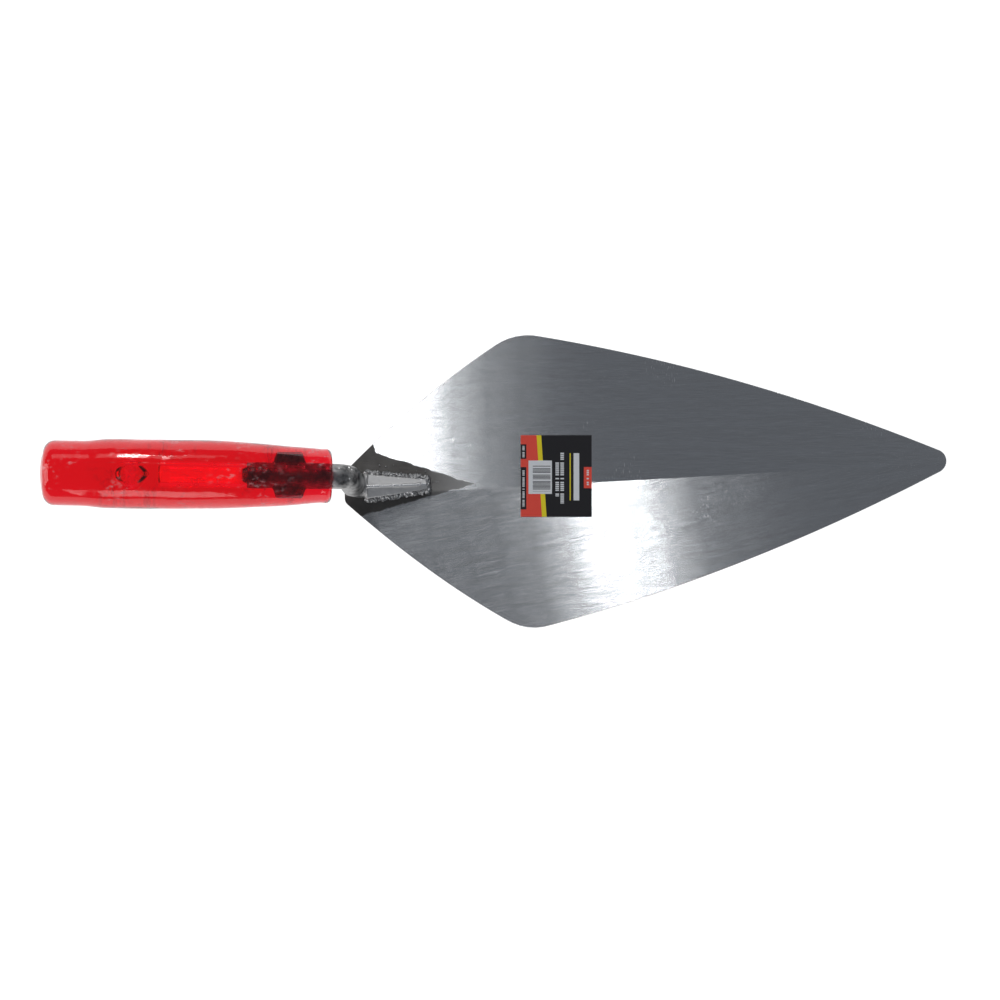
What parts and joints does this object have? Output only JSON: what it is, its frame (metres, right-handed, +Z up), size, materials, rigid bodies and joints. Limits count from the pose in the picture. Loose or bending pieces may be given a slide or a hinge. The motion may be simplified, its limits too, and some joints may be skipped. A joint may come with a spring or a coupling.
{
  "type": "brick trowel",
  "caption": "Hand trowel for laying bricks: a flat kite-shaped steel blade, a cranked steel shank welded on at its heel, and a round plastic handle on the shank's spike.",
  "frame": {"origin": "on the blade's flat underside, on the line from heel to point, level with the shoulders", "axes": "+X from the heel of the blade to its point, +Y to the left, +Z up, on the side of the handle"},
  "size_m": [0.4389, 0.1459, 0.0762],
  "materials": {
    "ground_steel": "ground in slanting lines on both halves, dark forge scale left at the heel",
    "forged_steel": "forged and blasted, dull dark grey",
    "weld_metal": "as welded, rippled",
    "red_plastic": "glossy, translucent red moulding",
    "printed_label": "printed self-adhesive film"
  },
  "bodies": {
    "root": {"blade": "ground_steel", "shank": "forged_steel", "weld_left": "weld_metal", "weld_right": "weld_metal", "weld_toe": "weld_metal", "handle": "red_plastic", "label": "printed_label"}
  },
  "joints": []
}
